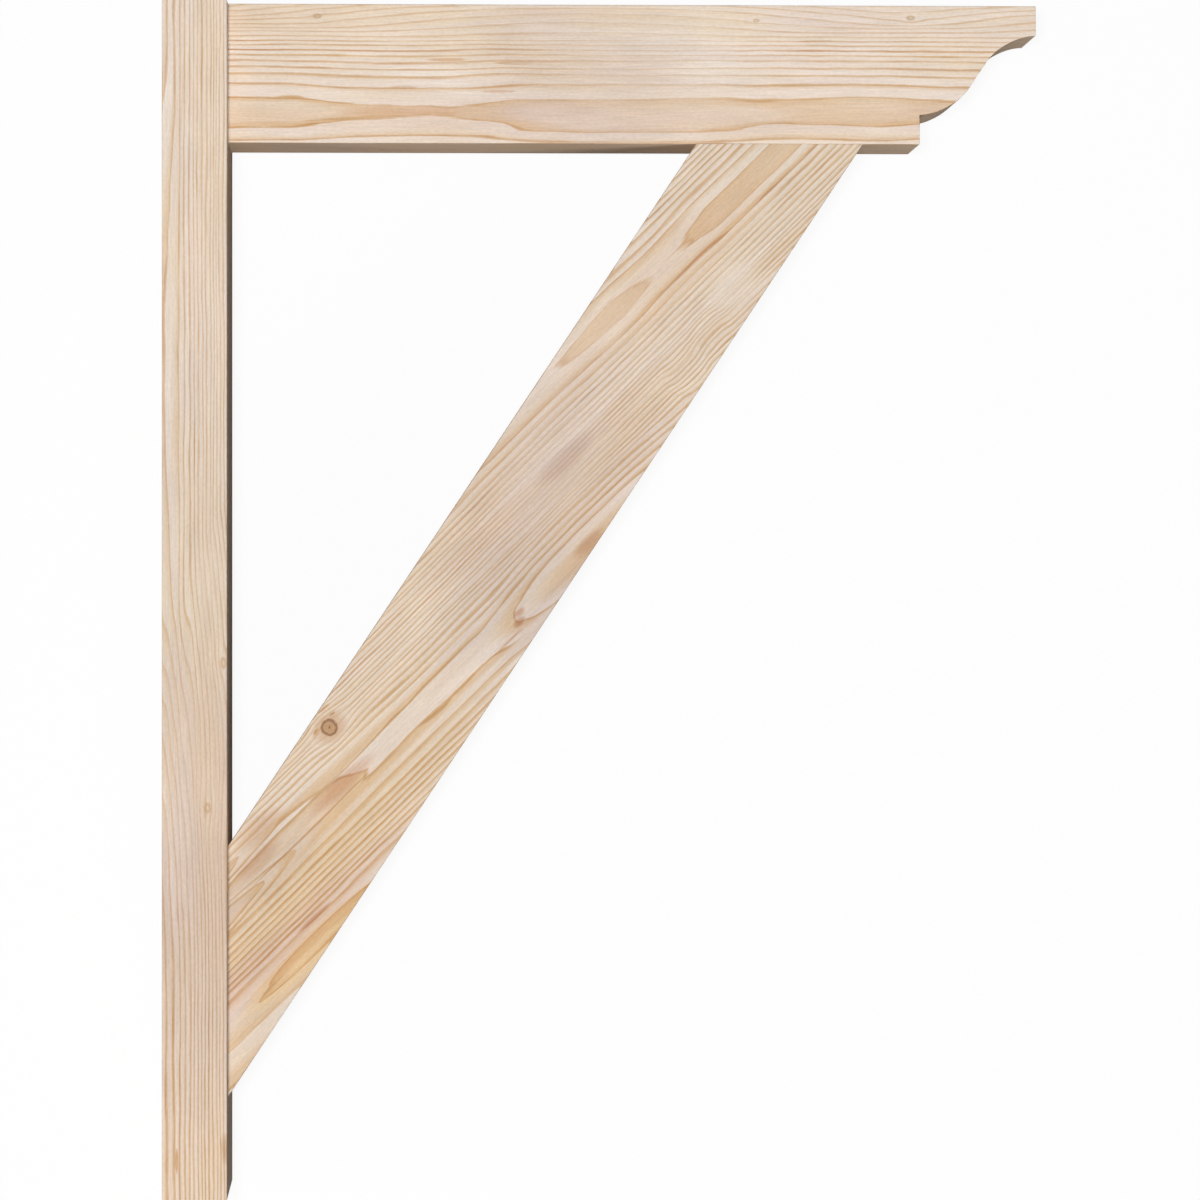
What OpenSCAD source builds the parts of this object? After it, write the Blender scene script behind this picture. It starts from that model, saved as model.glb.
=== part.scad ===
// Wooden outlooker: a square arm with an ogee end, butted on a flat wall post
// and carried by a square diagonal brace.
// It lies on its side: X runs out from the wall, Y runs up the wall when it is
// installed, Z runs across its width. The origin is the centre of the wall face.

/* [Overall] */
// From the wall face to the nose of the arm
projection = 558.8; // [480:0.1:760]
// Length of the back post, and so the height on the wall
height = 762; // [600:0.1:1000]

/* [Back post] */
// Thickness of the post, out from the wall
post_thickness = 41.3; // [30:0.1:60]
// Width of the post along the wall
post_width = 139.7; // [110:0.1:190]

/* [Arm] */
// Depth of the arm, measured up the wall
arm_depth = 88.9; // [75:0.1:115]
// Width of the arm
arm_width = 88.9; // [70:0.1:110]

/* [Ogee end of the arm] */
// Height of the flat nose
nose_flat = 19.05; // [12:0.05:26]
// Height of the square heel under the ogee
heel_flat = 19.05; // [12:0.05:26]
// Radius of the hollow and of the round
ogee_radius = 38.1; // [20:0.1:60]
// Steepness of the slope between the hollow and the round, in degrees
ogee_angle = 56.3; // [45:0.1:70]

/* [Brace] */
// Depth of the brace, square to its length
brace_depth = 88.9; // [60:0.1:110]
// Width of the brace
brace_width = 88.9; // [70:0.1:110]
// Bare post below the foot of the brace
foot_gap = 63.5; // [20:0.1:120]
// Bare arm between the head of the brace and the heel of the ogee
head_gap = 36.5; // [10:0.1:60]

/* [Edges] */
// Radius of the eased long edges of each timber
edge_radius = 0.8; // [0.4:0.1:3]

/* [Hidden] */
$fn = 96;
// How far a cutting shape runs past what it cuts
cut = 20;

post_foot = -height / 2;
arm_top = height / 2;
arm_under = arm_top - arm_depth;

// The ogee, from the nose back to the heel. Its two arcs are equal, and both
// end level, so the slope between them takes what is left of the drop.
nose_y = arm_top - nose_flat;
heel_y = arm_under + heel_flat;
ogee_drop = nose_y - heel_y;
arc_r = min(ogee_radius, ogee_drop / (2 * (1 - cos(ogee_angle))));
slope_length = (ogee_drop - 2 * arc_r * (1 - cos(ogee_angle))) / sin(ogee_angle);
ogee_run = 2 * arc_r * sin(ogee_angle) + slope_length * cos(ogee_angle);
heel_x = projection - ogee_run;
hollow_centre = [projection, nose_y - arc_r];
round_centre = [heel_x, heel_y + arc_r];
arc_offset = arc_r * [sin(ogee_angle), -cos(ogee_angle)];

// The brace's outer edge runs from its foot on the post to its head on the arm.
brace_foot = [post_thickness, post_foot + foot_gap];
brace_head = [heel_x - head_gap, arm_under];
brace_line = brace_head - brace_foot;
brace_angle = atan2(brace_line[1], brace_line[0]);

// Section of a timber: depth along X, width centred on Y, corners eased
module timber_section(depth, width) {
    inner_width = width - 2 * edge_radius;
    translate([0, -inner_width / 2]) square([depth, inner_width]);
    translate([edge_radius, -width / 2]) square([depth - 2 * edge_radius, width]);
    for (x = [edge_radius, depth - edge_radius], y = [-inner_width / 2, inner_width / 2])
        translate([x, y]) circle(edge_radius);
}

// Timber along +X, with its lower outer edge on the X axis and its depth up Y
module timber(length, depth, width) {
    rotate([90, 0, 90]) linear_extrude(length) timber_section(depth, width);
}

// What the saw takes from under the end of the arm to leave the ogee
module ogee_waste() {
    difference() {
        union() {
            polygon([
                [heel_x, arm_under - cut],
                [projection + cut, arm_under - cut],
                [projection + cut, nose_y],
                [projection, nose_y],
                hollow_centre - arc_offset,
                round_centre + arc_offset,
                [heel_x, heel_y],
            ]);
            translate(hollow_centre) circle(arc_r);
        }
        translate(round_centre) circle(arc_r);
    }
}

// Flat plank that goes against the wall, on edge across the arm and the brace
module back_post() {
    color("#e2cdb7")
        translate([post_thickness, post_foot, 0])
            rotate([0, 0, 90])
                timber(height, post_thickness, post_width);
}

// Level arm, butted on the post with its top flush with the end of the post
module arm() {
    color("#e6cfb3")
        difference() {
            translate([post_thickness, arm_under, 0])
                timber(projection - post_thickness, arm_depth, arm_width);
            translate([0, 0, -arm_width / 2 - cut])
                linear_extrude(arm_width + 2 * cut) ogee_waste();
        }
}

// Diagonal brace, cut to sit flat on the post's face and under the arm
module brace() {
    overrun = 2 * brace_depth;
    color("#dec5a4")
        intersection() {
            translate(concat(brace_foot, 0))
                rotate([0, 0, brace_angle])
                    translate([-overrun, 0, 0])
                        timber(norm(brace_line) + 2 * overrun, brace_depth, brace_width);
            translate([post_thickness, post_foot, -brace_width / 2 - cut])
                cube([projection, arm_under - post_foot, brace_width + 2 * cut]);
        }
}

back_post();
arm();
brace();
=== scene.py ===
import math

import bmesh
import bpy
from mathutils import Matrix, Vector


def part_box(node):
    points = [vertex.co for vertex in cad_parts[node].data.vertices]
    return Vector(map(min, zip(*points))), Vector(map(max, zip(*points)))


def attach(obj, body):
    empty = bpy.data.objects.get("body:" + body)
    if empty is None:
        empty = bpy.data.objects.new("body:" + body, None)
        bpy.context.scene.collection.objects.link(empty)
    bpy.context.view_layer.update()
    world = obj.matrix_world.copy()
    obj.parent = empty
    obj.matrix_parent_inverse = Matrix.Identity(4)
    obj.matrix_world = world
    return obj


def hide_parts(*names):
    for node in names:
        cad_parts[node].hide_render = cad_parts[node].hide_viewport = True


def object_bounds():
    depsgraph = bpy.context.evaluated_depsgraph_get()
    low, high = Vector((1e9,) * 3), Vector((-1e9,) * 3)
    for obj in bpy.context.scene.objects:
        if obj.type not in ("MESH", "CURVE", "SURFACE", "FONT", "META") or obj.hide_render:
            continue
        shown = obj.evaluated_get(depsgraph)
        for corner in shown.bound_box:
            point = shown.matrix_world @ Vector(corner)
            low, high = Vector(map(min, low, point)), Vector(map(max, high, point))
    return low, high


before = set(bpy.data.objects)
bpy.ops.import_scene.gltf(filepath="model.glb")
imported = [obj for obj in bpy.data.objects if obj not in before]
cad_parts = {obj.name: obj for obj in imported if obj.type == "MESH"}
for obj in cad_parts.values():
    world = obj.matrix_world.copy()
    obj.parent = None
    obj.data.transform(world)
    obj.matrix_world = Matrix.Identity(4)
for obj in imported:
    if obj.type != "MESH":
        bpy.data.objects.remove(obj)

mm = 0.001


cadLow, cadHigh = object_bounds()
postLow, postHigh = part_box("back_post")
armLow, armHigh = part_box("arm")
braceLow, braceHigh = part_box("brace")
print("frame loaded")


def linearColour(hexColour):
    channels = [int(hexColour[i:i + 2], 16) / 255 for i in (1, 3, 5)]
    return [c / 12.92 if c <= 0.04045 else ((c + 0.055) / 1.055) ** 2.4 for c in channels] + [1]


def addNode(tree, kind, inputs, output=0, **settings):
    # one shader node with its settings, values and links; hands on the output asked for. Sockets go
    # by name, or by number where names repeat: a colour Mix takes 0, 6 and 7 and gives 2
    node = tree.nodes.new("ShaderNode" + kind)
    for setting, value in settings.items():
        setattr(node, setting, value)
    for socket, value in inputs.items():
        if isinstance(value, bpy.types.NodeSocket):
            tree.links.new(value, node.inputs[socket])
        else:
            node.inputs[socket].default_value = value
    return node.outputs[output] if len(node.outputs) else node


# Sawn timber, modelled as a block that is cut to shape and has its edges taken off

sawing = {
    "match": 0.01,  # mm; places closer than this are the same
    "weld": 0.005,  # mm; corners closer than this become one
    "flatWithin": 0.1,  # degrees
    "smoothWithin": 12,  # degrees: smooth round the ogee, flat elsewhere
    "sawnCorner": 40,  # degrees, the least turn at an edge that the saw leaves
    "easedSegments": 3,
    "sawnSegments": 2,
}


def near(a, b):
    return abs(a - b) < sawing["match"] * mm


def isCorner(edge):
    return edge.calc_face_angle() > math.radians(sawing["sawnCorner"])


def openBlock(name, middle, size, turn=0.0):
    bpy.ops.object.select_all(action="DESELECT")
    bpy.ops.mesh.primitive_cube_add(size=1, location=middle, rotation=(0, 0, turn), scale=size)
    bpy.ops.object.transform_apply(location=True, rotation=True, scale=True)
    timber = bpy.context.active_object
    timber.name = name
    timber.data.name = name
    bpy.ops.object.mode_set(mode="EDIT")
    bpy.ops.mesh.select_mode(type="EDGE")
    return timber


def selectEdges(timber, wanted):
    bpy.ops.mesh.select_all(action="DESELECT")
    mesh = bmesh.from_edit_mesh(timber.data)
    for edge in mesh.edges:
        if wanted(edge, *[vert.co for vert in edge.verts]):
            edge.select_set(True)
    mesh.select_flush_mode()
    bmesh.update_edit_mesh(timber.data)


def easeEdges(timber, wanted, radius, segments):
    selectEdges(timber, wanted)
    bpy.ops.mesh.bevel(offset=radius, segments=segments, affect="EDGES", clamp_overlap=False)


def cleanTimber():
    bpy.ops.mesh.select_all(action="SELECT")
    bpy.ops.mesh.remove_doubles(threshold=sawing["weld"] * mm)
    bpy.ops.mesh.dissolve_limited(angle_limit=math.radians(sawing["flatWithin"]))


def closeTimber(timber, material):
    cleanTimber()
    bpy.ops.mesh.normals_make_consistent(inside=False)
    bpy.ops.object.mode_set(mode="OBJECT")
    bpy.ops.object.shade_smooth_by_angle(angle=math.radians(sawing["smoothWithin"]))
    timber.data.materials.append(material)


# Douglas fir, kiln dried and planed, left bare: a dry, matt, pinkish cream face with thin tan lines
# where the rings run out of it, tan tongues and lobes where it lies along a ring, a hard edge on the
# outside of every ring and a soft one on the inside. Sawn ends are darker and show the rings as arcs.

firTones = {
    "pale": "#F1E6DC",  # wood made in spring, which differs a little from ring to ring
    "pink": "#E8D6C9",
    "straw": "#EAD7BE",  # the ring as it ripens
    "tan": "#DEC19F",  # wood made in summer
    "rust": "#BF8F69",  # the last of it, along the ring's hard edge
    "ochre": "#C59A66",
    "endGrain": "#E3DAD0",  # multiplies the face colours on a sawn end
}
firRings = {  # shares are of a ring's width
    "tanSpread": 0.14,  # how much the start of the tan wood differs from year to year
    "tanEnd": 0.97,
    "lineWidth": 1.75,  # mm, the dark line that ends each ring
    "lineShare": (0.07, 0.5),  # the least and the most of the ring that it takes
    # where it starts, is full and begins to fall off, in its own widths from the ring's hard edge
    "lineStages": (-1, -0.5, -0.4),
    "linePalest": 0.24,  # strength of the palest line
    "lineRange": 0.44,  # what the darkest one has on top of that
    "lineUneven": 1.5,  # change of strength along a line
    "lineSwelling": 1.9,  # and of its width
    "moodWidth": 0.5,  # power of a zone's mood that goes to the line's width
    "streak": (32, 6, 6),  # mm along the grain and across it, over which a line changes
}
firFinish = {
    "blush": (110, 16, 16),  # mm along the grain and across it, patches of pink and of straw
    "blushNoise": (0.35, 0.65),  # the range of the noise that is used
    "pinkByPatch": 0.55,
    "pinkByYear": 0.45,
    "strawMost": 0.8,
    "strawFirst": 0.3,  # share of the straw that a ring starts with
    "strawRipe": 0.5,  # and the part of the ring where it has it all
    "shadeNoise": (0.3, 0.7),
    "fibre": (24, 1, 1),  # mm, a bundle of fibres
    "fibreShade": (0.93, 1.06),  # what the darkest and the lightest do to the colour
    "cloud": (70, 16, 16),  # mm, a slow change from the planing
    "cloudShade": (0.95, 1.03),
    "fleck": (3, 1.3, 1.3),  # mm, short ends of fibres
    "fleckShade": (0.945, 1.055),
    "endsFacing": (0.3, 0.95),  # how squarely a face crosses the fibres where end grain starts, is full
    "endCrowding": 0.8,  # rings in a ring's width, as counted on a sawn end
    "ringGroup": 4,  # rings in each lighter or darker band of the end grain
    "groupShade": (0.8, 1.1),
    "sawTeeth": (0.8, 7, 0.8),  # mm, scratches of the saw across an end
    "sawRelief": 0.12,  # mm
    "fibreRelief": 0.03,
    "faceRoughness": 0.72,
    "lateRoughness": 0.62,
    "ior": 1.5,
    "specularLevel": 0.35,
}
knotOutline = {  # lengths are in the knot's own radii
    "pushReach": 1.6,  # how much longer than the knot the bend in the grain is
    "pushFall": 0.35,  # how fast it dies away
    "bumps": 0.35,  # to a mm, along the knot's outline
    "bumpReach": 0.5,
    "woodEdge": (0.8, 1.1),  # where the knot's own wood gives way to the timber's
    "pithEdge": (0.05, 0.25),
    "ringWave": 21,  # radians of the ring wave from the middle out, so a little over 3 rings
}
pinKnot = {  # a twig: a pale eye in a brown ring
    "longer": 1.7,  # length along the grain for its width
    "depth": 8,  # mm that it reaches under the face
    "part": 0.7,  # how far it pushes the grain aside
    "heart": "#E0C49A",
    "heartShare": 0.3,
    "bark": "#A67C50",
    "barkPlace": 0.55,
    "barkWidth": 0.6,
    "barkShare": 0.42,
    "dotShare": 0,
    "yearShare": 0,
}
roundKnot = {  # a branch: brown wood with its own rings in a line of bark
    "longer": 1,
    "depth": 400,
    "part": 0.8,
    "heart": "#BB966F",
    "heartShare": 0.88,
    "bark": "#7E5232",
    "barkPlace": 0.9,
    "barkWidth": 0.28,
    "barkShare": 0.78,
    "dotShare": 0.85,
    "yearShare": 0.28,
}


# The grain of each timber is one field of rings, changed in oval spots. A spot is given in mm along
# and across the grain from its origin, and then by half its length and half its width. A swell adds
# rings there, a mood makes the tan wood and the lines darker or paler, and a tint multiplies the
# colour. A tint also has the share of it that is soft edge and, if not 0, the end it fades toward.

noiseMiddle = 0.5  # a noise swings about this


def regionMask(tree, place, along, side, length, width, edge=1.0, fade=0.0):
    # 1 in the middle of the spot, 0 outside it; it goes twice as deep as it is wide
    off = addNode(tree, "VectorMath", {0: place, 1: (along, side, 0)}, operation="SUBTRACT")
    off = addNode(tree, "VectorMath", {0: off, 1: (length, width, 2 * width)}, operation="DIVIDE")
    far = addNode(tree, "VectorMath", {0: off, 1: off}, "Value", operation="DOT_PRODUCT")
    span = {"Value": far, "From Min": 1 - edge, "From Max": 1, "To Min": 1, "To Max": 0}
    mask = addNode(tree, "MapRange", span, interpolation_type="SMOOTHSTEP")
    if fade:
        # it fades toward its lower end, or for a fade below 0 toward its upper one
        end = addNode(tree, "SeparateXYZ", {0: off}, "X")
        end = addNode(tree, "MapRange", {"Value": end, "From Min": -fade, "From Max": fade})
        mask = addNode(tree, "Math", {0: mask, 1: end}, operation="MULTIPLY")
    return mask


def bentGrain(tree, place, grain):
    # the fibres wander slowly, wobble a little, and part round each knot; they wander sideways five
    # times as far as in depth
    point = place
    for length, width, reach in grain["wander"]:
        wave = addNode(tree, "VectorMath", {0: place, 1: (length, width, width)}, operation="DIVIDE")
        wave = {"Vector": wave, "Scale": 1, "Detail": 1, "Roughness": 0.4}
        wave = addNode(tree, "TexNoise", wave, "Color")
        wave = addNode(tree, "VectorMath", {0: wave, 1: (noiseMiddle,) * 3}, operation="SUBTRACT")
        shift = {0: wave, 1: (0, reach, reach / 5), 2: point}
        point = addNode(tree, "VectorMath", shift, operation="MULTIPLY_ADD")
    for along, side, radius, kind in grain["knots"]:
        off = addNode(tree, "VectorMath", {0: point, 1: (along, side, 0)}, operation="SUBTRACT")
        size = (knotOutline["pushReach"] * kind["longer"] * radius, radius, kind["depth"])
        far = addNode(tree, "VectorMath", {0: off, 1: size}, operation="DIVIDE")
        far = addNode(tree, "VectorMath", {0: far, 1: far}, "Value", operation="DOT_PRODUCT")
        fall = addNode(tree, "Math", {0: far, 1: -knotOutline["pushFall"]}, operation="MULTIPLY")
        fall = addNode(tree, "Math", {0: fall}, operation="EXPONENT")
        push = addNode(tree, "VectorMath", {0: off, "Scale": fall}, operation="SCALE")
        shift = {0: push, 1: (0, -kind["part"], 0), 2: point}
        point = addNode(tree, "VectorMath", shift, operation="MULTIPLY_ADD")
    return point


def ringCount(tree, point, grain):
    # years from the first ring that the front face touches, counted outward from the pith
    pithSide, pithDepth = grain["pith"]
    width = grain["ringWidth"]
    out = addNode(tree, "VectorMath", {0: point, 1: (0, pithSide, -pithDepth)}, operation="SUBTRACT")
    out = addNode(tree, "VectorMath", {0: out, 1: (0, 1, 1)}, operation="MULTIPLY")
    out = addNode(tree, "VectorMath", {0: out}, "Value", operation="LENGTH")
    start = grain["phase"] - pithDepth / width
    rings = addNode(tree, "Math", {0: out, 1: 1 / width, 2: start}, operation="MULTIPLY_ADD")
    for count, pitch, lowest in grain["ripples"]:
        side = addNode(tree, "SeparateXYZ", {0: point}, "Y")
        turn = 2 * math.pi / pitch
        wave = addNode(tree, "Math", {0: side, 1: turn, 2: -turn * lowest}, operation="MULTIPLY_ADD")
        wave = addNode(tree, "Math", {0: wave}, operation="COSINE")
        wave = addNode(tree, "Math", {0: wave, 1: -count / 2, 2: count / 2}, operation="MULTIPLY_ADD")
        rings = addNode(tree, "Math", {0: rings, 1: wave}, operation="ADD")
    for along, side, length, width, count in grain["swells"]:
        mask = regionMask(tree, point, along, side, length, width)
        rings = addNode(tree, "Math", {0: mask, 1: count, 2: rings}, operation="MULTIPLY_ADD")
    return rings


def knotWood(tree, place, grain, colour):
    # its own wood, a dark line of bark, and where the kind has them a dot of pith and rings
    for along, side, radius, kind in grain["knots"]:
        off = addNode(tree, "VectorMath", {0: place, 1: (along, side, 0)}, operation="SUBTRACT")
        bumps = {"Vector": off, "Scale": knotOutline["bumps"], "Detail": 2}
        bumps = addNode(tree, "TexNoise", bumps, "Color")
        bumps = addNode(tree, "VectorMath", {0: bumps, 1: (noiseMiddle,) * 3}, operation="SUBTRACT")
        reach = knotOutline["bumpReach"] * radius
        off = addNode(tree, "VectorMath", {0: bumps, 1: (reach,) * 3, 2: off}, operation="MULTIPLY_ADD")
        size = (kind["longer"] * radius, radius, kind["depth"])
        far = addNode(tree, "VectorMath", {0: off, 1: size}, operation="DIVIDE")
        far = addNode(tree, "VectorMath", {0: far}, "Value", operation="LENGTH")
        full, none = knotOutline["woodEdge"]
        inside = {"Value": far, "From Min": full, "From Max": none, "To Min": 1, "To Max": 0}
        inside = addNode(tree, "MapRange", inside, interpolation_type="SMOOTHSTEP")
        share = addNode(tree, "Math", {0: inside, 1: kind["heartShare"]}, operation="MULTIPLY")
        wood = {0: share, 6: colour, 7: linearColour(kind["heart"])}
        colour = addNode(tree, "Mix", wood, 2, data_type="RGBA")
        bark = addNode(tree, "Math", {0: far, 1: kind["barkPlace"]}, operation="SUBTRACT")
        bark = addNode(tree, "Math", {0: bark}, operation="ABSOLUTE")
        bark = {"Value": bark, "From Max": kind["barkWidth"], "To Min": kind["barkShare"], "To Max": 0}
        dark = addNode(tree, "MapRange", bark, interpolation_type="SMOOTHSTEP")
        if kind["dotShare"]:
            full, none = knotOutline["pithEdge"]
            dot = {"Value": far, "From Min": full, "From Max": none,
                   "To Min": kind["dotShare"], "To Max": 0}
            dot = addNode(tree, "MapRange", dot, interpolation_type="SMOOTHSTEP")
            dark = addNode(tree, "Math", {0: dark, 1: dot}, operation="MAXIMUM")
        if kind["yearShare"]:
            years = addNode(tree, "Math", {0: far, 1: knotOutline["ringWave"]}, operation="MULTIPLY")
            years = addNode(tree, "Math", {0: years}, operation="SINE")
            years = {0: years, 1: kind["yearShare"]}
            years = addNode(tree, "Math", years, operation="MULTIPLY", use_clamp=True)
            years = addNode(tree, "Math", {0: years, 1: inside}, operation="MULTIPLY")
            dark = addNode(tree, "Math", {0: dark, 1: years}, operation="MAXIMUM")
        dark = {0: dark, 6: colour, 7: linearColour(kind["bark"])}
        colour = addNode(tree, "Mix", dark, 2, data_type="RGBA")
    return colour


def planedFir(materialName, grain):
    material = bpy.data.materials.new(materialName)
    material.use_nodes = True
    tree = material.node_tree
    tree.nodes.clear()
    turn = math.radians(grain["turn"])
    coords = addNode(tree, "TexCoord", {}).node
    frameOfTimber = {"Vector": coords.outputs["Object"], "Location": grain["origin"],
                     "Rotation": (0, 0, turn), "Scale": (mm, mm, mm)}
    place = addNode(tree, "Mapping", frameOfTimber, vector_type="TEXTURE")
    point = bentGrain(tree, place, grain)

    # a face across the fibres is end grain
    along = (math.cos(turn), math.sin(turn), 0)
    facing = coords.outputs["Normal"]
    ends = addNode(tree, "VectorMath", {0: facing, 1: along}, "Value", operation="DOT_PRODUCT")
    ends = addNode(tree, "Math", {0: ends}, operation="ABSOLUTE")
    starts, full = firFinish["endsFacing"]
    ends = {"Value": ends, "From Min": starts, "From Max": full}
    ends = addNode(tree, "MapRange", ends, interpolation_type="SMOOTHSTEP")

    # how crowded the rings are, from counting them again 1 mm across the grain of the face
    rings = ringCount(tree, point, grain)
    year = addNode(tree, "Math", {0: rings}, operation="FLOOR")
    ripe = addNode(tree, "Math", {0: rings}, operation="FRACT")
    across = addNode(tree, "VectorMath", {0: facing, 1: along}, operation="CROSS_PRODUCT")
    across = addNode(tree, "VectorRotate", {"Vector": across, "Angle": -turn}, rotation_type="Z_AXIS")
    aside = addNode(tree, "VectorMath", {0: point, 1: across})
    crowding = addNode(tree, "Math", {0: ringCount(tree, aside, grain), 1: rings}, operation="SUBTRACT")
    crowding = addNode(tree, "Math", {0: crowding}, operation="ABSOLUTE")
    onEnds = {0: ends, 1: firFinish["endCrowding"] / grain["ringWidth"]}
    onEnds = addNode(tree, "Math", onEnds, operation="MULTIPLY")
    crowding = addNode(tree, "Math", {0: crowding, 1: onEnds}, operation="MAXIMUM")

    # every year has its own share of dark wood, which thickens and thins along the timber
    seed = addNode(tree, "Math", {0: year, 1: grain["luck"]})
    luck = addNode(tree, "TexWhiteNoise", {"W": seed}, "Color", noise_dimensions="1D")
    luck = addNode(tree, "SeparateXYZ", {0: luck}).node.outputs
    streak = addNode(tree, "VectorMath", {0: point, 1: firRings["streak"]}, operation="DIVIDE")
    streak = {"Vector": streak, "W": seed, "Scale": 1, "Detail": 2, "Roughness": 0.5}
    streak = addNode(tree, "TexNoise", streak, noise_dimensions="4D")
    streak = addNode(tree, "Math", {0: streak, 1: noiseMiddle}, operation="SUBTRACT")
    mood = 1.0
    for along, side, length, width, change in grain["moods"]:
        mask = regionMask(tree, point, along, side, length, width)
        mask = addNode(tree, "Math", {0: mask, 1: change, 2: 1}, operation="MULTIPLY_ADD")
        mood = addNode(tree, "Math", {0: mask, 1: mood}, operation="MULTIPLY")

    tanStart, tanFull = grain["ripening"]
    spread = firRings["tanSpread"]
    start = {0: luck[0], 1: spread, 2: tanStart - spread / 2}
    start = addNode(tree, "Math", start, operation="MULTIPLY_ADD")
    late = {"Value": ripe, "From Min": start, "From Max": tanFull}
    late = addNode(tree, "MapRange", late, interpolation_type="SMOOTHSTEP")
    hardEdge = {"Value": ripe, "From Min": firRings["tanEnd"], "From Max": 1, "To Min": 1, "To Max": 0}
    hardEdge = addNode(tree, "MapRange", hardEdge)
    late = addNode(tree, "Math", {0: late, 1: hardEdge}, operation="MULTIPLY")
    late = addNode(tree, "Math", {0: late, 1: mood}, operation="MULTIPLY", use_clamp=True)

    # the dark line is about as wide in a crowded ring as in a broad one
    width = {0: streak, 1: firRings["lineSwelling"] * firRings["lineWidth"], 2: firRings["lineWidth"]}
    width = addNode(tree, "Math", width, operation="MULTIPLY_ADD")
    thicker = addNode(tree, "Math", {0: mood, 1: firRings["moodWidth"]}, operation="POWER")
    width = addNode(tree, "Math", {0: width, 1: thicker}, operation="MULTIPLY")
    share = addNode(tree, "Math", {0: width, 1: crowding}, operation="MULTIPLY")
    least, most = firRings["lineShare"]
    share = addNode(tree, "Clamp", {"Value": share, "Min": least, "Max": most})
    stages = []
    for part in firRings["lineStages"]:
        stages.append(addNode(tree, "Math", {0: share, 1: part, 2: 1}, operation="MULTIPLY_ADD"))
    line = {"Value": ripe, "From Min": stages[0], "From Max": stages[1]}
    line = addNode(tree, "MapRange", line, interpolation_type="SMOOTHSTEP")
    hardEdge = {"Value": ripe, "From Min": stages[2], "From Max": 1, "To Min": 1, "To Max": 0}
    hardEdge = addNode(tree, "MapRange", hardEdge)
    line = addNode(tree, "Math", {0: line, 1: hardEdge}, operation="MULTIPLY")
    strength = {0: luck[1], 1: firRings["lineRange"], 2: firRings["linePalest"]}
    strength = addNode(tree, "Math", strength, operation="MULTIPLY_ADD")
    strength = {0: streak, 1: firRings["lineUneven"], 2: strength}
    strength = addNode(tree, "Math", strength, operation="MULTIPLY_ADD")
    strength = addNode(tree, "Math", {0: strength, 1: mood}, operation="MULTIPLY", use_clamp=True)
    line = addNode(tree, "Math", {0: line, 1: strength}, operation="MULTIPLY")

    # spring wood blushes pink in places, and is straw coloured in others
    blush = addNode(tree, "VectorMath", {0: point, 1: firFinish["blush"]}, operation="DIVIDE")
    blush = addNode(tree, "TexNoise", {"Vector": blush, "Scale": 1, "Detail": 2}, "Color")
    blush = addNode(tree, "SeparateXYZ", {0: blush}).node.outputs
    least, most = firFinish["blushNoise"]
    body = {"Value": blush[0], "From Min": least, "From Max": most, "To Max": firFinish["pinkByPatch"]}
    body = addNode(tree, "MapRange", body)
    body = {0: luck[2], 1: firFinish["pinkByYear"], 2: body}
    body = addNode(tree, "Math", body, operation="MULTIPLY_ADD", use_clamp=True)
    body = {0: body, 6: linearColour(firTones["pale"]), 7: linearColour(firTones["pink"])}
    colour = addNode(tree, "Mix", body, 2, data_type="RGBA")
    warm = {"Value": blush[1], "From Min": least, "From Max": most, "To Max": firFinish["strawMost"]}
    warm = addNode(tree, "MapRange", warm)
    ripening = {"Value": ripe, "From Max": firFinish["strawRipe"], "To Min": firFinish["strawFirst"]}
    ripening = addNode(tree, "MapRange", ripening)
    warm = addNode(tree, "Math", {0: warm, 1: ripening}, operation="MULTIPLY")
    straw = {0: warm, 6: colour, 7: linearColour(firTones["straw"])}
    colour = addNode(tree, "Mix", straw, 2, data_type="RGBA")
    tan = {0: late, 6: colour, 7: linearColour(firTones["tan"])}
    colour = addNode(tree, "Mix", tan, 2, data_type="RGBA")
    dark = {0: luck[2], 6: linearColour(firTones["rust"]), 7: linearColour(firTones["ochre"])}
    dark = addNode(tree, "Mix", dark, 2, data_type="RGBA")
    colour = addNode(tree, "Mix", {0: line, 6: colour, 7: dark}, 2, data_type="RGBA")
    stain = {0: 1.0, 6: colour, 7: linearColour(grain["stain"])}
    colour = addNode(tree, "Mix", stain, 2, data_type="RGBA", blend_type="MULTIPLY")

    for along, side, length, width, edge, fade, tint in grain["tints"]:
        mask = regionMask(tree, point, along, side, length, width, edge, fade)
        stain = {0: mask, 6: colour, 7: linearColour(tint)}
        colour = addNode(tree, "Mix", stain, 2, data_type="RGBA", blend_type="MULTIPLY")
    colour = knotWood(tree, place, grain, colour)

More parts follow.
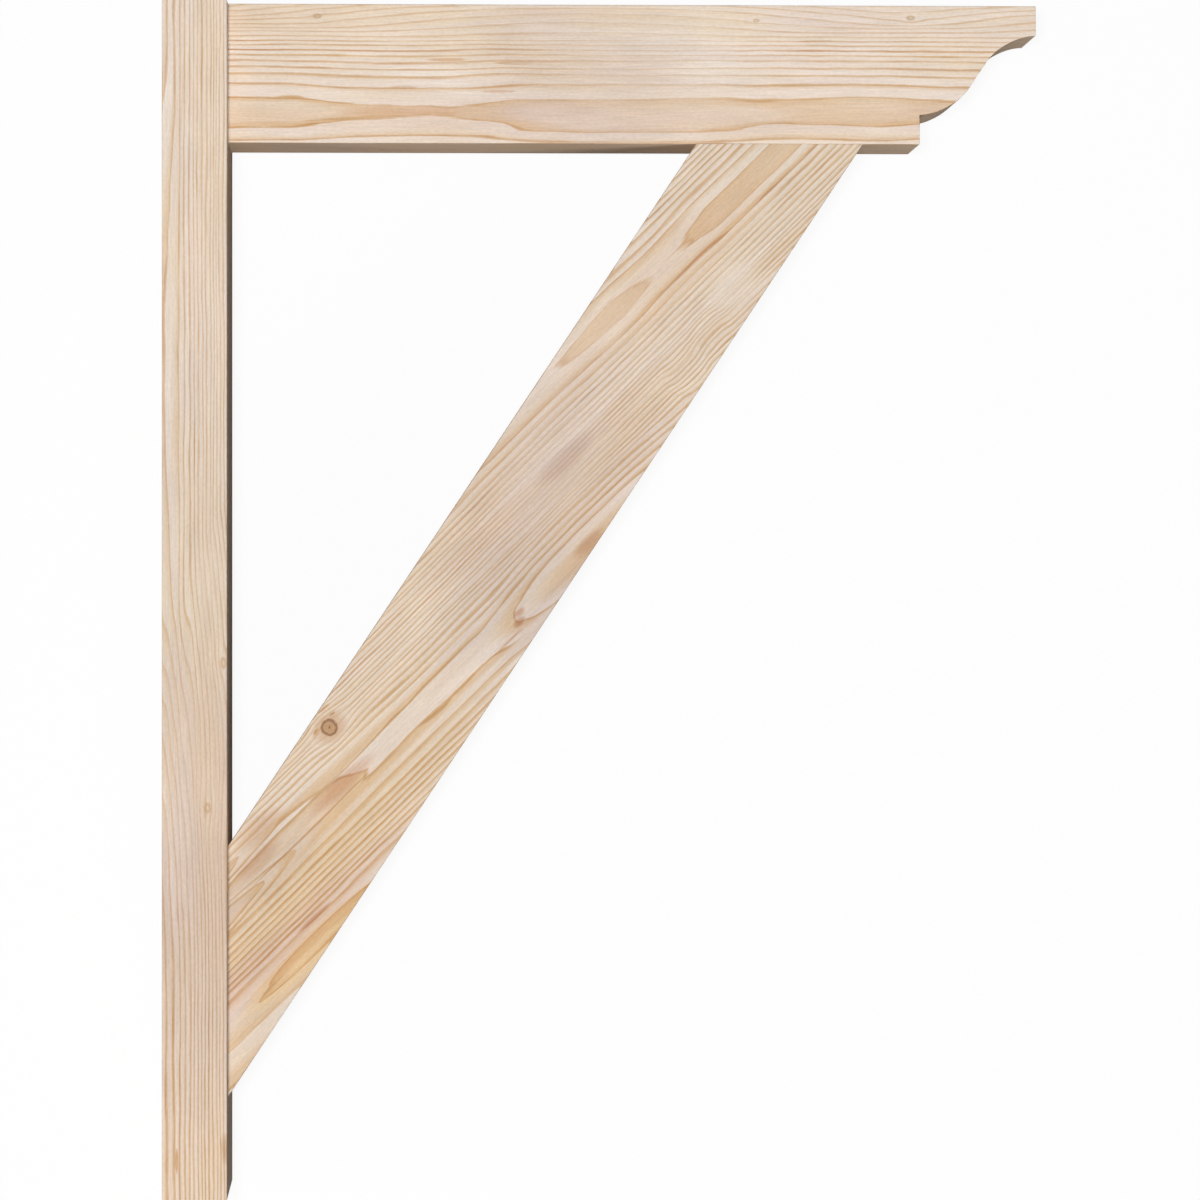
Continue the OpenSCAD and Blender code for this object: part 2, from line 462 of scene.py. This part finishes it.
    # fibres are about 0.04 mm wide, too fine to show, so they are drawn 1 mm wide in long bundles,
    # and the ends of those that the planer cut short are drawn as flecks about as wide
    fibre = addNode(tree, "VectorMath", {0: point, 1: firFinish["fibre"]}, operation="DIVIDE")
    fibre = addNode(tree, "TexNoise", {"Vector": fibre, "Scale": 1, "Detail": 2, "Roughness": 0.6})
    cloud = addNode(tree, "VectorMath", {0: place, 1: firFinish["cloud"]}, operation="DIVIDE")
    cloud = addNode(tree, "TexNoise", {"Vector": cloud, "Scale": 1, "Detail": 3})
    fleck = addNode(tree, "VectorMath", {0: place, 1: firFinish["fleck"]}, operation="DIVIDE")
    fleck = addNode(tree, "TexNoise", {"Vector": fleck, "Scale": 1, "Detail": 2, "Roughness": 0.6})
    least, most = firFinish["shadeNoise"]
    for noise, name in ((fibre, "fibreShade"), (cloud, "cloudShade"), (fleck, "fleckShade")):
        darkest, lightest = firFinish[name]
        shade = {"Value": noise, "From Min": least, "From Max": most,
                 "To Min": darkest, "To Max": lightest}
        shade = addNode(tree, "MapRange", shade)
        colour = addNode(tree, "VectorMath", {0: colour, "Scale": shade}, operation="SCALE")

    # a sawn end is darker, by a different amount in each group of a few rings
    darkest, lightest = firFinish["groupShade"]
    group = addNode(tree, "Math", {0: rings, 1: 1 / firFinish["ringGroup"]}, operation="MULTIPLY")
    group = addNode(tree, "TexNoise", {"W": group, "Scale": 1, "Detail": 1}, noise_dimensions="1D")
    group = {"Value": group, "From Min": least, "From Max": most,
             "To Min": darkest, "To Max": lightest}
    group = addNode(tree, "MapRange", group)
    sawn = {0: linearColour(firTones["endGrain"])[:3], "Scale": group}
    sawn = addNode(tree, "VectorMath", sawn, operation="SCALE")
    sawn = {0: ends, 6: colour, 7: sawn}
    colour = addNode(tree, "Mix", sawn, 2, data_type="RGBA", blend_type="MULTIPLY")

    relief = addNode(tree, "Math", {0: fibre, 1: firFinish["fibreRelief"]}, operation="MULTIPLY")
    teeth = addNode(tree, "VectorMath", {0: place, 1: firFinish["sawTeeth"]}, operation="DIVIDE")
    teeth = addNode(tree, "TexNoise", {"Vector": teeth, "Scale": 1, "Detail": 2})
    teeth = addNode(tree, "Math", {0: teeth, 1: firFinish["sawRelief"]}, operation="MULTIPLY")
    teeth = addNode(tree, "Math", {0: teeth, 1: ends}, operation="MULTIPLY")
    relief = addNode(tree, "Math", {0: relief, 1: teeth}, operation="ADD")
    bump = addNode(tree, "Bump", {"Height": relief, "Strength": 1, "Distance": mm})
    rough = {"Value": late, "To Min": firFinish["faceRoughness"], "To Max": firFinish["lateRoughness"]}
    rough = addNode(tree, "MapRange", rough)
    skin = {"Base Color": colour, "Roughness": rough, "Normal": bump, "IOR": firFinish["ior"],
            "Specular IOR Level": firFinish["specularLevel"]}
    addNode(tree, "OutputMaterial", {"Surface": addNode(tree, "BsdfPrincipled", skin)})
    return material


# The post against the wall. Its long narrow edge is the face that shows, and the rings run out of
# it as about fifteen near-straight lines that drift across it half way up.

postShape = {
    "easedEdge": 0.8,  # mm, as are all the sizes here
    "sawnEdge": 0.3,
}
postGrain = {
    "origin": (0, postLow.y, postHigh.z),  # foot of the post, on the front edge of the wall face
    "turn": 90,  # degrees from X to the way the fibres run
    "pith": (12, 50),  # mm beyond the wall face, and below the front
    "ringWidth": 1.5,
    "phase": 0.4,  # how far through its ring the wood at the origin is
    "ripening": (0.45, 0.95),  # where in a ring the tan starts and is full
    "luck": 11,  # picks the tones of the years
    "stain": "#F9F9F8",  # multiplies the whole timber
    "ripples": [],
    # length, width and reach of each wave
    "wander": [(380, 5, 3.2), (130, 30, 1.6), (40, 9, 1.4), (12, 1.5, 0.4)],
    "swells": [(60, 0, 330, 1000, -5), (520, 8, 260, 22, 1.5), (330, -50, 120, 40, -2.5)],
    "knots": [(341, -39, 2.6, pinKnot), (249, -29, 2.4, pinKnot)],
    "moods": [
        # darker at the foot, faint about the knots
        (400, -20, 900, 200, -0.2), (50, -20, 100, 60, 0.4), (270, -20, 110, 60, -0.5),
        (380, -30, 60, 16, -0.4),
        # dark stretches of single lines
        (90, -6, 120, 4, 0.7), (615, -10.5, 26, 2.5, 0.8), (650, -22, 20, 2.5, 0.8),
        (715, -25.5, 26, 2.5, 0.8), (715, -31.5, 26, 2.5, 0.8), (475, -21, 26, 2.5, 0.8),
        (545, -24, 16, 2.5, 0.8),
    ],
    "tints": [
        (262, -20, 130, 80, 1, 0, "#F8F4F3"), (60, -20, 300, 120, 1, 0, "#F8F5F2"),
        (150, -20, 120, 60, 1, 0, "#F3F2F5"), (400, -20, 170, 80, 1, 0, "#F6F6F6"),
        # two specks near the foot
        (25, -9.3, 9, 1.4, 0.6, 0, "#E6CCAC"), (33, -40, 12, 4, 1, 0, "#E8D8C8"),
    ],
}


def makeBackPost():
    timber = openBlock("backPostTimber", (postLow + postHigh) / 2, postHigh - postLow)
    easeEdges(timber, lambda edge, a, b: not near(a.y, b.y), postShape["easedEdge"] * mm,
              sawing["easedSegments"])

    def isSawn(edge, a, b):
        return near(a.y, b.y) and isCorner(edge)

    easeEdges(timber, isSawn, postShape["sawnEdge"] * mm, sawing["sawnSegments"])
    closeTimber(timber, planedFir("planedFirPost", postGrain))
    return timber


backPost = makeBackPost()
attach(backPost, "root")
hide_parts("back_post")
print("back post modelled")


# The arm, with its end sawn to an ogee: a hollow under the nose running into a round over the heel.
# Its face runs along one ring near the bottom, which shows as a chain of broad tan lobes.

armShape = {
    "noseFlat": 19.05,  # mm
    "heelFlat": 19.05,
    "ogeeRadius": 38.1,
    "ogeeAngle": 56.3,  # degrees
    "ogeeSegments": 24,
    "easedEdge": 0.8,
    "sawnEdge": 0.3,
}
armGrain = {
    "origin": (armLow.x, armLow.y + 20.1 * mm, armHigh.z),  # where the face lies along a ring
    "turn": 0,
    "pith": (0, 100),
    "ringWidth": 1.2,
    "phase": 0.57,
    "ripening": (0.5, 0.98),
    "luck": 3,
    "stain": "#FFFFFF",
    "ripples": [],
    "wander": [(380, 6, 2.2), (130, 30, 1.2), (34, 8, 0.9), (12, 1.5, 0.4)],
    "swells": [
        # the neck between the first two lobes, the belly of the second, and on to the heel
        (115, 0, 78, 60, 0.4), (240, -1, 86, 60, 0.06), (262, -13, 100, 12, -0.4),
        (352, -6, 60, 34, 0.14), (500, 0, 90, 50, 0.26),
        # the pale hearts of the lobes
        (18, 0, 92, 6.5, -0.35), (302, -2.5, 64, 9, -0.3),
        # the rings at the top, which sweep up to the nose
        (230, 95, 330, 50, -6), (560, 95, 190, 50, -5),
    ],
    "knots": [(57, 61, 1.9, pinKnot), (338, 59, 1.4, pinKnot), (437, 61, 1.9, pinKnot)],
    "moods": [
        # faint in the middle and along the top, darker by the post
        (265, 30, 95, 60, -0.6), (250, 62, 500, 22, -0.5), (60, 34, 90, 18, 0.3),
        (445, 32, 80, 18, 0.1),
        # dark stretches of single lines
        (6, 45.5, 22, 2.5, 0.8), (6, 39, 24, 2.5, 0.8), (75, 36, 24, 2.5, 0.8),
        (385, 45.5, 24, 2.5, 0.3), (378, 39.3, 26, 2.5, 0.2), (452, 35.5, 24, 2.5, 0.8),
        # the lobes
        (22, 7.2, 70, 4.8, 0.85), (22, -7.2, 70, 4.4, 0.85), (455, -6, 60, 5, 0.4),
        (115, 0, 50, 12, -0.35), (275, -2, 130, 15, 0.35), (308, -2.5, 52, 7, -0.3),
    ],
    "tints": [
        # short streaks between the lines
        (140, 33, 15, 1.2, 0.7, 0, "#EED8C2"), (184, 31, 16, 1.1, 0.6, -1, "#E2C8AE"),
        (112, 16, 11, 1.3, 0.7, 0, "#F0E5DD"), (173, 13.5, 13, 1.2, 0.6, 0, "#F0E1D6"),
        (377, 45.5, 15, 1, 0.5, -1, "#EEDCC8"), (379, 39.3, 17, 1.1, 0.5, -1, "#F0E0CE"),
        # the lobes
        (40, -1, 90, 9, 1, 0, "#FBF6E8"), (415, 0, 60, 10, 1, 0, "#FCF6EA"),
        (112, 0, 50, 5, 1, 0, "#F7ECE4"), (260, -4, 400, 16, 1, 0, "#FAF5F3"),
        # a grey bruise in the middle, and straw at the top by the post
        (228, 28, 90, 75, 1, 0, "#F3F0EF"), (40, 62, 120, 16, 1, 0, "#FCF7EC"),
    ],
}


def makeArm():
    angle = math.radians(armShape["ogeeAngle"])
    cornerRun = armShape["ogeeRadius"] * mm * math.tan(angle / 2)
    noseY = armHigh.y - armShape["noseFlat"] * mm
    heelY = armLow.y + armShape["heelFlat"] * mm
    slopeRun = (noseY - heelY) / math.tan(angle)
    heelX = armHigh.x - 2 * cornerRun - slopeRun

    blockHigh = Vector((heelX, armHigh.y, armHigh.z))
    timber = openBlock("armTimber", (armLow + blockHigh) / 2, blockHigh - armLow)
    bpy.ops.mesh.select_all(action="SELECT")
    bpy.ops.mesh.bisect(plane_co=(0, heelY, 0), plane_no=(0, 1, 0))

    # the nose is drawn out of the end in three lengths, with the slope in the middle one
    slack = 1 * mm  # less than any step in the arm's outline

    def isEnd(edge, a, b):
        return near(a.x, heelX) and near(b.x, heelX) and min(a.y, b.y) > heelY - slack

    selectEdges(timber, isEnd)
    for run, rise in ((cornerRun, 0), (slopeRun, noseY - heelY), (cornerRun, 0)):
        bpy.ops.mesh.extrude_region_move(TRANSFORM_OT_translate={"value": (run, 0, 0)})
        mesh = bmesh.from_edit_mesh(timber.data)
        for vert in mesh.verts:
            if vert.select and vert.co.y < armHigh.y - slack:
                vert.co.y += rise
            if near(vert.co.x, armHigh.x):
                vert.co.x = armHigh.x
        bmesh.update_edit_mesh(timber.data)

    def isOgeeCorner(edge, a, b):
        atRound = near(a.x, heelX + cornerRun) and near(a.y, heelY)
        atHollow = near(a.x, armHigh.x - cornerRun) and near(a.y, noseY)
        return near(a.x, b.x) and near(a.y, b.y) and (atRound or atHollow)

    easeEdges(timber, isOgeeCorner, cornerRun, armShape["ogeeSegments"])
    cleanTimber()

    def isLong(edge, a, b):
        return near(a.y, b.y) and near(a.z, b.z) and (near(a.y, armHigh.y) or near(a.y, armLow.y))

    easeEdges(timber, isLong, armShape["easedEdge"] * mm, sawing["easedSegments"])

    def isSawn(edge, a, b):
        atJoint = near(a.x, armLow.x) and near(b.x, armLow.x)
        return edge.is_convex and isCorner(edge) and not atJoint

    easeEdges(timber, isSawn, armShape["sawnEdge"] * mm, sawing["sawnSegments"])
    closeTimber(timber, planedFir("planedFirArm", armGrain))
    return timber


arm = makeArm()
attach(arm, "root")
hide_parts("arm")
print("arm modelled")


# The brace. Its grain runs 12 degrees off its length, so the rings run out of its long edges.

braceShape = {
    "depth": 88.9,  # mm
    "overrun": 150,  # left on each end before the ends are cut to the post and the arm
    "easedEdge": 0.8,
}
braceGrain = {
    "origin": (braceHigh.x - 52.1 * mm, braceHigh.y - 0.4 * mm, braceHigh.z),  # mid-head, by the arm
    "turn": 44.4,
    "pith": (0, 2000),  # far enough for rings that are flat but for the ripple and the swells
    "ringWidth": 2.4,
    "phase": 0.72,
    "ripening": (0.25, 0.9),
    "luck": 5,
    "stain": "#F5F5F4",
    "ripples": [(21.6, 190, -1.5)],  # rings it rises by, pitch across the grain, and its lowest place
    "wander": [(380, 5, 3.2), (130, 30, 1.6), (34, 8, 1.2), (12, 1.5, 0.4)],
    "swells": [
        # the two tongues below the head
        (-105, -1, 45, 30, 0.29), (-260, -3, 110, 40, 0.35),
        # the long eye on the lower edge and a kink above it
        (-250, -100, 115, 40, 1.5), (-145, -62, 18, 18, -0.7), (-116, -52, 16, 16, 0.5),
        (-440, -107, 150, 12, -0.22),
        # the rings past the knot
        (-390, -72, 150, 26, 0.35), (-600, -76, 200, 20, 0.85),
        # broad bands at the foot, and the crowded ones under them
        (-560, -98, 112, 10.5, -0.75), (-720, -105, 210, 11, -3.6), (-700, -84.5, 170, 8, -2.6),
        (-640, -219.5, 1500, 79.4, 11.56),
        # the golden patch on the lower edge of the foot
        (-565, -159, 77, 11, -0.56), (-585, -158.5, 58, 3.5, -0.35),
    ],
    "knots": [(-468, -64, 5.2, roundKnot)],
    "moods": [
        # faint in the middle, near the head and about the knot
        (-250, -48, 60, 34, -0.6), (-85, -44, 26, 18, -0.7), (-300, -45, 140, 40, -0.15),
        (-130, -25, 150, 45, -0.28), (-160, -2, 60, 14, -0.35), (-468, -64, 24, 8, -0.7),
        # the borders of the tongues
        (-40, -14.5, 70, 3.5, 1.6), (-110, -15, 60, 3.5, 1.2), (-70, -3, 60, 10, 0.2),
        # the point of the long eye and the wood beside it
        (-411, -104, 19, 3, 2), (-387, -104.5, 12, 3, 1.2), (-348, -105.5, 16, 2.5, 0.6),
        (-430, -87, 70, 4, 1), (-328, -111, 28, 5.5, -0.95),
        # the foot, and single lines in it
        (-540, -122, 150, 22, 0.45), (-600, -137, 120, 3, 0.5), (-600, -142, 200, 4, 0.5),
        (-640, -171, 60, 5, 0.9),
    ],
    "tints": [
        # the head and the middle, which has a grey bruise
        (-120, -8, 130, 22, 1, 0, "#FDF6F0"), (-260, -50, 120, 70, 1, 0, "#F4F0F0"),
        (-240, -47, 30, 10, 1, 0, "#EFE9E8"), (-267, -96, 16, 6, 1, 0, "#E9D8CC"),
        # the long eye
        (-300, -109, 85, 14, 1, 0, "#EAE6E8"), (-335, -78, 75, 34, 1, 0, "#F5F6FA"),
        (-334, -101, 6, 3.2, 1, 0, "#DDBDA8"), (-330, -96.5, 6, 3, 1, 0, "#E2C6B4"),
        (-348, -105, 16, 1, 1, 0, "#E8D0B8"),
        # about the knot
        (-468, -64, 15, 8, 1, 0, "#EFDDCB"), (-476, -61.5, 3.2, 0.9, 1, 0, "#E0C8A8"),
        (-460.5, -61, 3, 0.9, 1, 0, "#DCC4A2"), (-462, -54, 6, 1.2, 0.8, 0, "#E8D2BC"),
        # brown smears above the foot
        (-488, -96, 34, 7, 1, 0, "#EFD9CC"), (-520, -102.3, 60, 0.9, 0.6, 0, "#E6CFB4"),
        (-560, -93, 22, 7, 1, 0, "#F3E6DC"), (-545, -79, 24, 9, 1, 0, "#F1E4D8"),
        (-575, -100, 75, 26, 1, 0, "#F3F1EF"),
        # the foot and its golden patch
        (-540, -122, 190, 26, 1, 0, "#FAF3E4"), (-600, -144, 160, 16, 1, 0, "#F8EFEE"),
        (-570, -158, 74, 10, 0.5, 0, "#FBEDD0"), (-560, -143.5, 17, 1.8, 0.8, 0, "#E2C6B2"),
    ],
}


def makeBrace():
    foot = Vector((braceLow.x, braceLow.y, 0))
    line = Vector((braceHigh.x, braceHigh.y, 0)) - foot
    lean = math.atan2(line.y, line.x)
    along = line.normalized()
    across = Vector((-along.y, along.x, 0))
    depth = braceShape["depth"] * mm
    size = (line.length + 2 * braceShape["overrun"] * mm, depth, braceHigh.z - braceLow.z)
    timber = openBlock("braceTimber", foot + line / 2 + across * depth / 2, size, lean)

    def isLong(edge, a, b):
        return near(abs((b - a).dot(along)), (b - a).length)

    easeEdges(timber, isLong, braceShape["easedEdge"] * mm, sawing["easedSegments"])
    bpy.ops.mesh.select_all(action="SELECT")
    bpy.ops.mesh.bisect(plane_co=braceLow, plane_no=(1, 0, 0), use_fill=True, clear_inner=True)
    bpy.ops.mesh.select_all(action="SELECT")
    bpy.ops.mesh.bisect(plane_co=braceHigh, plane_no=(0, 1, 0), use_fill=True, clear_outer=True)
    closeTimber(timber, planedFir("planedFirBrace", braceGrain))
    return timber


brace = makeBrace()
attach(brace, "root")
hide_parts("brace")
print("brace modelled")


# The studio: a pale painted floor, a white room, and soft lamps

studio = {
    "floorSize": 14,  # metres, as are the lamps' places
    "floorPaint": "#F3F3F3",
    "floorBounce": "#5F5F5F",  # what the timber gets back from the floor
    "whiteness": 0.92,  # share of the floor that shows as plain white, under the shadows
    "ambient": 0.05,
    "lamps": {  # place, width, power and colour
        "keyLamp": ((-0.05, 0.05, 4.6), 0.4, 155, "#FFFFFF"),
        "underArmLamp": ((0.22, -3.0, 1.7), 1.2, 34, "#FFF2E0"),
        "alongBraceLamp": ((-2.1, -2.4, 1.6), 1.2, 16, "#FFF2E0"),
        "wallSideLamp": ((-3.2, -0.5, 0.15), 1.2, 30, "#FFFFFF"),
        "roofSideLamp": ((0.3, 3.4, 0.15), 1.2, 30, "#FFFFFF"),
        "noseSideLamp": ((3.6, 0.4, 0.15), 1.2, 7, "#FFFFFF"),
    },
}


def makeFloor():
    bpy.ops.object.select_all(action="DESELECT")
    bpy.ops.mesh.primitive_plane_add(size=studio["floorSize"], location=(0, 0, cadLow.z))
    floor = bpy.context.active_object
    floor.name = "studioFloor"
    material = bpy.data.materials.new("paintedFloor")
    material.use_nodes = True
    tree = material.node_tree
    tree.nodes.clear()
    seen = addNode(tree, "LightPath", {}, "Is Camera Ray")
    paint = addNode(tree, "BsdfDiffuse", {"Color": linearColour(studio["floorPaint"])})
    white = addNode(tree, "Emission", {"Strength": 1})
    paint = addNode(tree, "MixShader", {0: studio["whiteness"], 1: paint, 2: white})
    bounce = addNode(tree, "BsdfDiffuse", {"Color": linearColour(studio["floorBounce"])})
    paint = addNode(tree, "MixShader", {0: seen, 1: bounce, 2: paint})
    addNode(tree, "OutputMaterial", {"Surface": paint})
    floor.data.materials.append(material)


def lightRoom():
    world = bpy.data.worlds.new("studioRoom")
    bpy.context.scene.world = world
    world.use_nodes = True
    tree = world.node_tree
    tree.nodes.clear()
    rays = addNode(tree, "LightPath", {}).node.outputs
    seen = {0: rays["Is Camera Ray"], 1: rays["Is Glossy Ray"]}
    seen = addNode(tree, "Math", seen, operation="MAXIMUM")
    dim = addNode(tree, "Background", {"Strength": studio["ambient"]})
    white = addNode(tree, "Background", {"Color": (1, 1, 1, 1), "Strength": 1})
    addNode(tree, "OutputWorld", {"Surface": addNode(tree, "MixShader", {0: seen, 1: dim, 2: white})})
    middle = (cadLow + cadHigh) / 2
    for name, (place, width, power, colour) in studio["lamps"].items():
        data = bpy.data.lights.new(name, "AREA")
        data.shape = "DISK"
        data.size = width
        data.energy = power
        data.color = linearColour(colour)[:3]
        lamp = bpy.data.objects.new(name, data)
        lamp.location = place
        lamp.rotation_euler = (middle - lamp.location).to_track_quat("-Z", "Y").to_euler()
        bpy.context.scene.collection.objects.link(lamp)


makeFloor()
lightRoom()
print("studio lit")


# The camera stands over the face, a little to the post's side, and keeps the post upright in view

cameraPlace = {
    "across": 0.1422,
    "above": 3.962,  # metres over the front edge of the post
    "lookAcross": 0.2782,
    "lens": 187,  # mm, as is the sensor's width
    "sensor": 36,
}


def placeCamera():
    data = bpy.data.cameras.new("camera")
    data.sensor_width = cameraPlace["sensor"]
    data.lens = cameraPlace["lens"]
    camera = bpy.data.objects.new("camera", data)
    camera.location = (cameraPlace["across"], 0, cadHigh.z + cameraPlace["above"])
    look = Vector((cameraPlace["lookAcross"], 0, cadHigh.z)) - camera.location
    look.normalize()
    right = look.cross(Vector((0, 1, 0))).normalized()
    up = right.cross(look)
    camera.rotation_euler = Matrix((right, up, -look)).transposed().to_euler()
    bpy.context.scene.collection.objects.link(camera)
    bpy.context.scene.camera = camera


placeCamera()
bpy.context.scene.view_settings.view_transform = "Standard"
print("camera placed")
